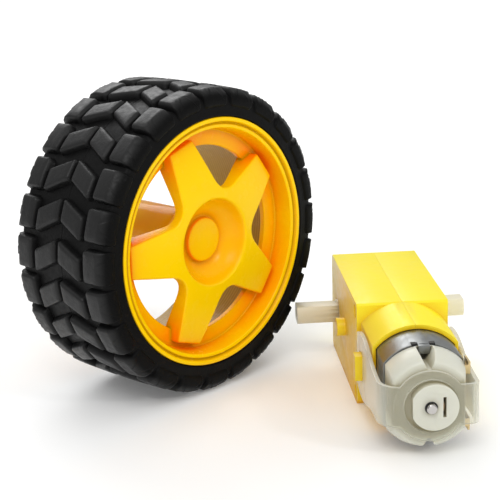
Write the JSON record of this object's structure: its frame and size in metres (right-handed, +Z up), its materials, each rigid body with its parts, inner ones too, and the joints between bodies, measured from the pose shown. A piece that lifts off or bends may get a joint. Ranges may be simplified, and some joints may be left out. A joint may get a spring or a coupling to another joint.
{
  "type": "robot car wheel and gear motor set",
  "caption": "Treaded wheel with an open-spoked rim, standing beside a right-angle gear motor with a double-ended drive shaft.",
  "frame": {"origin": "on the floor, under the centre of the set's bounding box", "axes": "+Z up; the wheel's axle lies along Y and the rim's outer face looks towards -Y; the gear motor stands in front of the wheel, turned 42.67 degrees clockwise seen from above, with its output shaft along (0.735, -0.678, 0) and its gearbox end towards (0.678, 0.735, 0)"},
  "size_m": [0.0862, 0.0894, 0.0655],
  "materials": {
    "tyre": "matt moulded rubber",
    "rim": "golden yellow moulding",
    "case": "lemon yellow moulding, fine grain",
    "nylon": "natural nylon",
    "acetal": "white",
    "strap": "milky, see-through",
    "zinc": "zinc plated",
    "steel": "ground",
    "brass": "bright",
    "bronze": "sintered bronze",
    "ferrite": "black ferrite",
    "iron": "laminated iron",
    "copper": "copper",
    "resin": "brown resin",
    "carbon": "pressed carbon"
  },
  "bodies": {
    "gear_motor": {"gearbox_shell_left": "case", "gearbox_shell_right": "case", "case_screw_1": "zinc", "case_screw_2": "zinc", "case_screw_3": "zinc", "middle_pin": "steel", "crown_pin": "steel", "motor_can": "zinc", "end_cap": "acetal", "front_bush": "bronze", "rear_bush": "bronze", "magnet_upper": "ferrite", "magnet_lower": "ferrite", "magnet_clip": "steel", "terminal_upper": "brass", "terminal_lower": "brass", "brush_upper": "carbon", "brush_lower": "carbon", "motor_strap": "strap"},
    "output": {"output_shaft": "nylon", "output_gear": "nylon"},
    "middle": {"middle_gear": "acetal"},
    "crown": {"crown_gear": "acetal"},
    "rotor": {"motor_shaft": "steel", "motor_pinion": "brass", "armature_core": "iron", "winding_1": "copper", "winding_2": "copper", "winding_3": "copper", "commutator_sleeve": "resin", "commutator_segment_1": "copper", "commutator_segment_2": "copper", "commutator_segment_3": "copper"},
    "wheel": {"rim": "rim", "tyre": "tyre"}
  },
  "joints": [
    {"name": "output_spin", "type": "hinge", "parent": "gear_motor", "child": "output", "pos_m": [0.0274, 0.00435, 0.011], "axis": [0.7353, -0.6778, 0], "continuous": true},
    {"name": "middle_spin", "type": "hinge", "parent": "gear_motor", "child": "middle", "pos_m": [0.02147, -0.00208, 0.011], "axis": [0.7353, -0.6778, 0], "continuous": true},
    {"name": "crown_spin", "type": "hinge", "parent": "gear_motor", "child": "crown", "pos_m": [0.01554, -0.00852, 0.011], "axis": [0.7353, -0.6778, 0], "continuous": true},
    {"name": "rotor_spin", "type": "hinge", "parent": "gear_motor", "child": "rotor", "pos_m": [0.00741, -0.01734, 0.011], "axis": [0.6778, 0.7353, 0], "continuous": true},
    {"name": "wheel_spin", "type": "hinge", "parent": "gear_motor", "child": "wheel", "pos_m": [-0.01032, 0.03114, 0.03275], "axis": [0, 1, 0], "continuous": true}
  ],
  "couplings": [
    {"joint": "middle_spin", "follows": "output_spin", "ratio": -4},
    {"joint": "crown_spin", "follows": "output_spin", "ratio": 16},
    {"joint": "rotor_spin", "follows": "output_spin", "ratio": -48}
  ]
}
